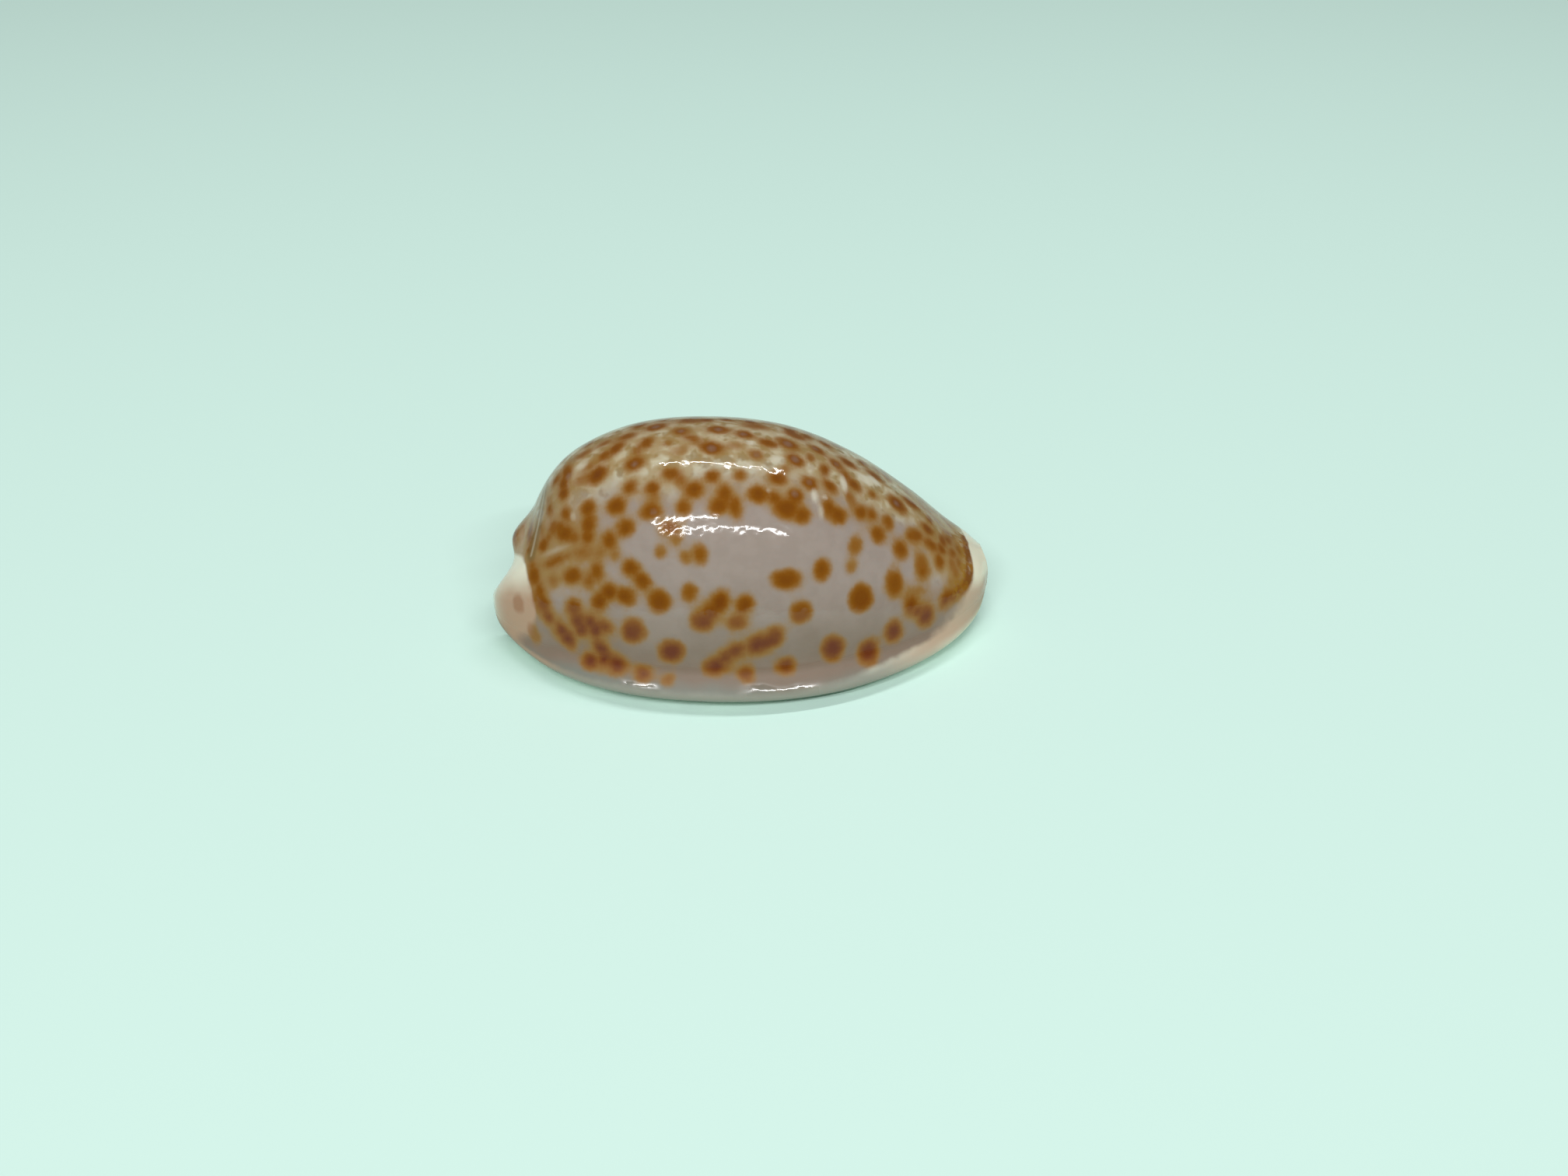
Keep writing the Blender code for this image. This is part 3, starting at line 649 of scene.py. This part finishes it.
def relief_tree():
    """Raises teeth in a row along each lip, waves the enamel a little and sinks the seam."""
    tree = bpy.data.node_groups.new("cowrie teeth and enamel waves", "GeometryNodeTree")
    tree.interface.new_socket("Geometry", in_out="INPUT", socket_type="NodeSocketGeometry")
    tree.interface.new_socket("Geometry", in_out="OUTPUT", socket_type="NodeSocketGeometry")
    for name in RELIEF:
        kind = "NodeSocketMaterial" if name == "Enamel" else "NodeSocketFloat"
        tree.interface.new_socket(name, in_out="INPUT", socket_type=kind)
    given = add_node(tree, "NodeGroupInput").outputs
    maths = maths_in(tree)

    def stored(name):
        reading = add_node(tree, "GeometryNodeInputNamedAttribute", {"Name": name}, data_type="FLOAT")
        return reading.outputs["Attribute"]

    place = add_node(tree, "GeometryNodeInputPosition").outputs[0]
    x = add_node(tree, "ShaderNodeSeparateXYZ", {0: place}).outputs["X"]
    run = maths("SUBTRACT", given["Last Tooth"], given["First Tooth"])
    share = maths("DIVIDE", maths("SUBTRACT", x, given["First Tooth"]), run)
    rise = 0.0
    for lip, count in (("outer_lip", "Outer Teeth"), ("inner_lip", "Inner Teeth")):
        gaps = maths("SUBTRACT", given[count], 1.0)
        turns = maths("MULTIPLY", share, gaps)
        wave = maths("COSINE", maths("MULTIPLY", turns, 2 * pi))
        ridge = maths("POWER", maths("MULTIPLY_ADD", wave, 0.5, 0.5), given["Tooth Sharpness"])
        half = maths("DIVIDE", gaps, 2.0)
        past_end = maths("SUBTRACT", maths("ABSOLUTE", maths("SUBTRACT", turns, half)), half)
        in_row = maths("LESS_THAN", past_end, 0.5)
        on_lip = maths("MULTIPLY", maths("MULTIPLY", ridge, in_row), stored(lip))
        rise = maths("MULTIPLY_ADD", on_lip, given["Tooth Height"], rise)
    scale = maths("DIVIDE", 1.0, given["Wave Length"])
    inputs = {"Vector": place, "W": given["Seed"], "Scale": scale, "Detail": 1.0}
    noise = add_node(tree, "ShaderNodeTexNoise", inputs, noise_dimensions="4D")
    waved = maths("MULTIPLY", maths("SUBTRACT", noise.outputs[0], 0.5), given["Wave Height"])
    above_base = maths("SUBTRACT", 1.0, stored("bare"))
    rise = maths("MULTIPLY_ADD", waved, above_base, rise)
    across = maths("DIVIDE", stored("seam_distance"), given["Seam Width"])
    dip = maths("EXPONENT", maths("MULTIPLY", maths("MULTIPLY", across, across), -1.0))
    rise = maths("SUBTRACT", rise, maths("MULTIPLY", dip, given["Seam Depth"]))
    normal = add_node(tree, "GeometryNodeInputNormal").outputs[0]
    offset = add_node(tree, "ShaderNodeVectorMath", {0: normal, "Scale": rise}, operation="SCALE")
    inputs = {"Geometry": given["Geometry"], "Offset": offset.outputs[0]}
    moved = add_node(tree, "GeometryNodeSetPosition", inputs)
    real = add_node(tree, "GeometryNodeRealizeInstances", {"Geometry": moved.outputs[0]})
    inputs = {"Geometry": real.outputs[0], "Material": given["Enamel"]}
    coated = add_node(tree, "GeometryNodeSetMaterial", inputs)
    add_node(tree, "NodeGroupOutput", {"Geometry": coated.outputs[0]})
    return tree


def with_relief(shape, tooth_line, enamel):
    """The shape with its relief applied, as a plain mesh, held to the CAD part's box."""
    tree = relief_tree()
    values = {**RELIEF, "First Tooth": tooth_line[0], "Last Tooth": tooth_line[1], "Enamel": enamel}
    modifier = shape.modifiers.new("relief", "NODES")
    modifier.node_group = tree
    for item in tree.interface.items_tree:
        if item.in_out == "INPUT" and item.name in values:
            value = values[item.name]
            modifier[item.identifier] = float(value) if item.socket_type == "NodeSocketFloat" else value
    evaluated = shape.evaluated_get(bpy.context.evaluated_depsgraph_get())
    finished = bpy.data.meshes.new_from_object(evaluated)
    shape.modifiers.remove(modifier)
    shape.data = finished
    places = np.zeros(len(finished.vertices) * 3, np.float32)
    finished.vertices.foreach_get("co", places)
    held = np.clip(places.reshape(-1, 3), *cad_corners())
    finished.vertices.foreach_set("co", held.astype(np.float32).ravel())
    finished.update()
    return shape


# ---- finishes

def linear(colour):
    """An sRGB hex colour as the linear colour that a socket takes."""
    channels = [int(colour[i : i + 2], 16) / 255 for i in (1, 3, 5)]
    return tuple(c / 12.92 if c <= 0.04045 else ((c + 0.055) / 1.055) ** 2.4 for c in channels) + (1.0,)


def per_size(size_mm):
    """The texture scale at which a pattern's parts are this many millimetres across."""
    return 1 / (size_mm * MM)


# Cowrie enamel is aragonite in thin clear coats over pigment: soft-edged spots that look sunk in glass.
PORCELAIN = "#e2e0cc"
# Painted shade: the low margin's white enamel darkened as if it lay in shadow.
PAINTED_MARGIN_SHADE = "#7a7a70"
LILAC = "#9a8c83"
LILAC_GREY = "#96887f"
PALE_LILAC = "#aca098"
LOW_BROWN = "#705a44"
CREAM = "#cec7a8"
OLIVE = "#927d48"
HORN_PINK = "#ae8f76"
HALO_TAN = "#90691f"
THREAD_TAN = "#967a4a"
SPOT_BROWN = "#84500c"
SPOT_RED = "#622404"
BACK_BROWN = "#693811"
SPOT_DARK = "#733f05"
HORN_SPOT = "#8f5f3c"
EYE_MAUVE = "#856a58"
FLECK_WHITE = "#cdc8b8"
SEAM_DARK = "#6b5530"
SPIRE_TAN = "#b69f88"
LINING_MAUVE = "#a38a84"

# Zones of the pattern: where each starts and is full, by degrees up from the margin and by station.
BACK_UP = (56, 78)
NARROW_END_UP, NARROW_END_ALONG = (20, 44), (68, 80)
BROAD_END_UP, BROAD_END_ALONG, BROAD_END_TOP = (16, 34), (37, 28), 0.8
SPIRE_UP, SPIRE_ALONG = (38, 62), (25, 21)
ZONE_WANDER = 22  # how many degrees the zones' edges wander, in all

# Sizes in mm: the speckles, the enamel's two grains and their height, and the threads' mesh and its bends.
BROAD, MIDDLING, FINE = 2.6, 0.7, 0.22
COARSE_GRAIN, FINE_GRAIN, FINE_GRAIN_SHARE, GRAIN_HEIGHT = 0.50, 0.25, 0.35, 0.015
THREAD_MESH, THREAD_BEND, THREAD_BEND_LENGTH = 1.0, 0.9, 1.2
RAGGED, FINELY_RAGGED = 0.32, 0.08  # how far the spots' edges wander, in mm and in all

# Roughness of polished enamel, how much it varies, and what the rubbed margin adds.
POLISH, POLISH_SWING, RUBBED = 0.04, 0.06, 0.50
# Stretches of the margin that kept their polish: middle station, half length, top and bottom in degrees up.
POLISHED = ((38.8, 2.6, -19, -28), (52.7, 5.0, -15, -31))
POLISHED_EDGE = 4  # degrees over which such a stretch fades


class Paint:
    """The enamel's node tree, with the patterns, measures and zones that its layers share."""

    def __init__(self, tree):
        self.tree = tree
        self.maths = maths_in(tree)
        self.place = add_node(tree, "ShaderNodeTexCoord").outputs["Object"]
        self.broad, self.middling, self.fine = self.speckle(BROAD), self.speckle(MIDDLING), self.speckle(FINE)
        self.station = self.stored("station")
        off_crest = self.maths("ABSOLUTE", self.maths("SUBTRACT", self.stored("around"), 90))
        height = self.maths("SUBTRACT", 90, off_crest)
        self.height = self.maths("ADD", height, self.swing(self.broad, ZONE_WANDER))
        self.back = self.up(*BACK_UP)
        self.narrow_end = self.zone(NARROW_END_UP, NARROW_END_ALONG)
        self.broad_end = self.zone(BROAD_END_UP, BROAD_END_ALONG, BROAD_END_TOP)
        finely = self.swing(self.fine, FINELY_RAGGED)
        self.ragged = self.maths("ADD", self.swing(self.middling, RAGGED), finely)
        self.spot_depth = self.maths("ADD", self.stored("spot_depth"), self.ragged)

    def stored(self, name):
        return add_node(self.tree, "ShaderNodeAttribute", attribute_name=name).outputs["Fac"]

    def speckle(self, size_mm, detail=2.0, output="Fac"):
        inputs = {"Vector": self.place, "Scale": per_size(size_mm), "Detail": detail}
        return add_node(self.tree, "ShaderNodeTexNoise", inputs).outputs[output]

    def swing(self, noise, reach):
        """Noise about 0, this far from its lowest to its highest."""
        return self.maths("MULTIPLY", self.maths("SUBTRACT", noise, 0.5), reach)

    def times(self, share, *others):
        for other in others:
            share = self.maths("MULTIPLY", share, other)
        return share

    def between(self, value, start, full, top=1.0):
        """A share that grows smoothly from 0 at the start to the top where the value is full."""
        inputs = {"Value": value, "From Min": start, "From Max": full, "To Max": top}
        ramp = add_node(self.tree, "ShaderNodeMapRange", inputs, interpolation_type="SMOOTHSTEP")
        return ramp.outputs["Result"]

    def along(self, start, full, top=1.0):
        """The same by station."""
        return self.between(self.station, start, full, top)

    def up(self, start, full, top=1.0):
        """The same by degrees up from the margin."""
        return self.between(self.height, start, full, top)

    def zone(self, up, along, top=1.0):
        return self.times(self.along(*along), self.up(*up, top))

    def blend(self, share, under, over):
        """One colour laid over another, each a hex colour or a node's output."""
        sides = [linear(side) if isinstance(side, str) else side for side in (under, over)]
        inputs = {0: share, 6: sides[0], 7: sides[1]}
        return add_node(self.tree, "ShaderNodeMix", inputs, data_type="RGBA").outputs[2]


def ground(paint):
    """Lilac on the flank, brown towards the margin, then a painted shade over the low margin, cream and olive
    over the back.
    """
    colour = paint.blend(paint.between(paint.middling, 0.35, 0.65), LILAC_GREY, LILAC)
    colour = paint.blend(paint.up(32, -4, 0.65), colour, LOW_BROWN)
    # Painted shade over the low margin, below the flank.
    colour = paint.blend(paint.up(-12, -28), colour, PAINTED_MARGIN_SHADE)
    warm = paint.blend(paint.between(paint.middling, 0.34, 0.51), OLIVE, CREAM)
    netted = paint.maths("MAXIMUM", paint.back, paint.narrow_end)
    colour = paint.blend(paint.times(netted, 0.7), colour, warm)
    colour = paint.blend(paint.times(paint.broad_end, 0.7), colour, PALE_LILAC)
    return paint.blend(paint.zone(SPIRE_UP, SPIRE_ALONG), colour, SPIRE_TAN)


def threads(paint):
    """Where fine threads join the spots of the back and of both ends, in patches except at the narrow end."""
    bends = paint.speckle(THREAD_BEND_LENGTH, output="Color")
    inputs = {0: bends, 1: (THREAD_BEND * MM,) * 3, 2: paint.place}
    bent = add_node(paint.tree, "ShaderNodeVectorMath", inputs, operation="MULTIPLY_ADD")
    inputs = {"Vector": bent.outputs[0], "Scale": per_size(THREAD_MESH)}
    cells = add_node(paint.tree, "ShaderNodeTexVoronoi", inputs, feature="DISTANCE_TO_EDGE")
    patches = paint.between(paint.broad, 0.28, 0.54, 0.68)
    patches = paint.maths("MAXIMUM", patches, paint.times(paint.narrow_end, 0.85))
    netted = paint.maths("MAXIMUM", paint.maths("MAXIMUM", paint.back, paint.narrow_end), paint.broad_end)
    return paint.times(netted, paint.between(cells.outputs["Distance"], 0.27, 0.03), patches)


def spotted(paint, colour):
    """Tan halos, then the threads, then brown spots with darker hearts, mauve eyes, and pale flecks."""
    joined = paint.maths("ADD", paint.times(paint.broad_end, 0.14), paint.times(paint.narrow_end, 0.08))
    halo_depth = paint.maths("ADD", paint.maths("ADD", paint.stored("halo_depth"), joined), paint.ragged)
    open_back = paint.times(paint.back, paint.along(76, 60))
    halo_strength = paint.maths("MULTIPLY_ADD", open_back, -0.30, 0.80)
    halo = paint.times(paint.between(halo_depth, -0.25, 0.10), halo_strength)
    colour = paint.blend(halo, colour, HALO_TAN)
    colour = paint.blend(threads(paint), colour, THREAD_TAN)

    depth, darkness = paint.spot_depth, paint.stored("spot_darkness")
    brown = paint.times(paint.between(depth, -0.18, 0.22), paint.between(darkness, -0.1, 0.8))
    colour = paint.blend(brown, colour, SPOT_BROWN)
    heart_colour = paint.blend(paint.up(26, 6), SPOT_DARK, SPOT_RED)
    heart_colour = paint.blend(paint.up(56, 76), heart_colour, BACK_BROWN)
    heart = paint.times(paint.between(depth, -0.02, 0.44), paint.between(darkness, 0.4, 1.0, 0.92))
    colour = paint.blend(heart, colour, heart_colour)

    colour = paint.blend(paint.between(paint.stored("eye_depth"), -0.16, 0.12, 0.60), colour, EYE_MAUVE)
    fleck = paint.between(paint.stored("fleck_depth"), -0.12, 0.10, 0.72)
    return paint.blend(paint.times(fleck, paint.stored("fleck_paleness")), colour, FLECK_WHITE)


def with_collar_foot(paint, colour):
    """The collar's foot: a mottled tan band with a brown line along it, darkest in places."""
    distance = paint.maths("ADD", paint.stored("foot_distance"), paint.times(paint.ragged, -0.6))
    mottled = paint.times(paint.between(distance, 1.00, 0.30), paint.between(paint.fine, 0.36, 0.56, 0.85))
    colour = paint.blend(mottled, colour, HALO_TAN)
    colour = paint.blend(paint.between(distance, 0.46, 0.16, 0.55), colour, SPOT_BROWN)
    darkest = paint.times(paint.between(distance, 0.40, 0.12), paint.between(paint.middling, 0.42, 0.56, 0.6))
    return paint.blend(darkest, colour, BACK_BROWN)


def with_callus(paint, colour):
    """The plain ends, low margins and base: porcelain, with a painted shade darkening it along the margin,
    rosy at both ends.
    """
    callus = paint.blend(paint.along(60, 74, 0.35), PORCELAIN, CREAM)
    # Painted shade along the margin over the white callus, fading out towards the narrow end.
    margin_shade = paint.times(paint.up(-8, -24), paint.along(78, 61, 0.85))
    callus = paint.blend(margin_shade, callus, PAINTED_MARGIN_SHADE)
    callus = paint.blend(paint.up(-36, -54), callus, PORCELAIN)
    rosy_horn = paint.times(paint.zone((50, 14), (2, 18)), paint.along(36, 25))
    rosy_collar = paint.zone((32, 12), (62, 73), 0.80)
    rosy = paint.times(paint.maths("ADD", rosy_horn, rosy_collar), paint.up(-40, -18))
    callus = paint.blend(rosy, callus, HORN_PINK)
    faint_spot = paint.times(paint.between(paint.spot_depth, -0.16, 0.12), paint.up(-25, -5, 0.6))
    callus = paint.blend(faint_spot, callus, HORN_SPOT)
    plain = paint.maths("ADD", paint.stored("bare"), paint.swing(paint.middling, 0.4))
    return paint.blend(paint.between(plain, 0.25, 0.85), colour, callus)


def with_seam(paint, colour):
    """The seam beside the spire: a light line between two olive edges."""
    distance = paint.stored("seam_distance")
    colour = paint.blend(paint.between(distance, 0.44, 0.16, 0.55), colour, SEAM_DARK)
    return paint.blend(paint.between(distance, 0.12, 0.02, 0.22), colour, PORCELAIN)


def roughness(paint):
    """Polished all over but along the margin, which is rubbed apart from two stretches."""
    rubbed = paint.times(paint.up(8, -16), paint.up(-50, -32))
    for middle, reach, top, bottom in POLISHED:
        below_top = paint.up(top, top - POLISHED_EDGE)
        line = paint.times(below_top, paint.up(bottom, bottom + POLISHED_EDGE))
        away = paint.maths("ABSOLUTE", paint.maths("SUBTRACT", paint.station, middle))
        kept = paint.times(line, paint.between(away, reach, reach / 2))
        rubbed = paint.times(rubbed, paint.maths("SUBTRACT", 1, kept))
    polished = paint.maths("MULTIPLY_ADD", paint.middling, POLISH_SWING, POLISH)
    return paint.maths("ADD", polished, paint.times(rubbed, RUBBED))


def shell_enamel():
    material = bpy.data.materials.new("cowrie enamel, glossy aragonite")
    material.use_nodes = True
    tree = material.node_tree
    tree.nodes.clear()
    paint = Paint(tree)
    colour = with_collar_foot(paint, spotted(paint, ground(paint)))
    colour = with_seam(paint, with_callus(paint, colour))
    colour = paint.blend(paint.stored("lining"), colour, LINING_MAUVE)
    fine_grain = paint.times(paint.speckle(FINE_GRAIN, detail=0), FINE_GRAIN_SHARE)
    coarse_grain = paint.times(paint.speckle(COARSE_GRAIN, detail=0), 1 - FINE_GRAIN_SHARE)
    grain = paint.maths("ADD", coarse_grain, fine_grain)
    bump = add_node(tree, "ShaderNodeBump", {"Height": grain, "Distance": GRAIN_HEIGHT * MM})
    shader = add_node(tree, "ShaderNodeBsdfPrincipled", {
        "Base Color": colour,
        "Roughness": roughness(paint),
        "IOR": 1.45,
        "Specular IOR Level": 0.38,
        "Subsurface Weight": 0.08,
        "Subsurface Scale": 0.3 * MM,
        "Normal": bump.outputs[0],
    })
    add_node(tree, "ShaderNodeOutputMaterial", {"Surface": shader.outputs[0]})
    return material


# Matt, so that only the shell shows highlights.
CARD, CARD_ROUGHNESS = "#d2f0e6", 0.9


def matt_card():
    material = bpy.data.materials.new("matt pale card")
    material.use_nodes = True
    shader = material.node_tree.nodes["Principled BSDF"]
    shader.inputs["Base Color"].default_value = linear(CARD)
    shader.inputs["Roughness"].default_value = CARD_ROUGHNESS
    return material


# ---- the studio

FLOOR_SIDE = 8.0
SKY, SKY_STRENGTH = "#e6efeb", 0.17
CEILING = 0.36  # height of the strip lights
# Strip lights: x and y of both ends as shares of the ceiling's height, width in metres, power in watts.
STRIPS = (
    ("front_strip", (-0.78, -1.13), (0.73, -0.80), 0.009, 1.24),
    ("front_strip_upper", (-0.80, -0.96), (-0.06, -0.74), 0.006, 0.84),
    ("back_strip", (-0.30, 0.06), (0.62, 0.20), 0.004, 0.50),
)


def floor():
    mesh = bpy.data.meshes.new("studio_floor")
    half = FLOOR_SIDE / 2
    corners = [(-half, -half, 0), (half, -half, 0), (half, half, 0), (-half, half, 0)]
    mesh.from_pydata(corners, [], [(0, 1, 2, 3)])
    mesh.materials.append(matt_card())
    add_object("studio_floor", mesh)


def lamp(name, start, end, width, power):
    """A long softbox under the ceiling between two points, facing the shell."""
    start, end = (Vector((x * CEILING, y * CEILING, CEILING)) for x, y in (start, end))
    data = bpy.data.lights.new(name, "AREA")
    data.shape = "RECTANGLE"
    data.size, data.size_y = (end - start).length, width
    data.energy = power
    middle = (start + end) / 2
    long_axis = (end - start).normalized()
    back = (middle - middle.dot(long_axis) * long_axis).normalized()
    side = back.cross(long_axis)
    turned = Matrix((long_axis, side, back)).transposed().to_4x4()
    add_object(name, data).matrix_world = Matrix.Translation(middle) @ turned


def studio_light():
    for strip in STRIPS:
        lamp(*strip)
    world = bpy.data.worlds.new("pale studio")
    world.use_nodes = True
    sky = world.node_tree.nodes["Background"]
    sky.inputs["Color"].default_value = linear(SKY)
    sky.inputs["Strength"].default_value = SKY_STRENGTH
    bpy.context.scene.world = world
    bpy.context.scene.view_settings.view_transform = "Standard"


# Camera: where it stands, its heading from +Y towards +X, how far it looks down, and its roll, in degrees.
CAMERA_PLACE = (-6.70 * MM, -62.22 * MM, 46.73 * MM)
HEADING, DOWN, ROLL = 7.984, 35.381, 1.524
LENS, SENSOR = 35.0, 36.0
CLIP = (1 * MM, 20.0)


def camera():
    data = bpy.data.cameras.new("camera")
    data.lens, data.sensor_width = LENS, SENSOR
    data.clip_start, data.clip_end = CLIP
    aim = Euler((radians(90 - DOWN), 0, radians(-HEADING)), "XYZ").to_matrix()
    turned = aim @ Matrix.Rotation(radians(ROLL), 3, "Z")
    made = add_object("camera", data)
    made.matrix_world = Matrix.Translation(CAMERA_PLACE) @ turned.to_4x4()
    bpy.context.scene.camera = made


def build():
    enamel = shell_enamel()
    shape, tooth_line = shell_body()
    shell = with_relief(shape, tooth_line, enamel)
    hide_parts("cowrie_shell")
    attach(shell, "root")
    floor()
    studio_light()
    camera()


build()
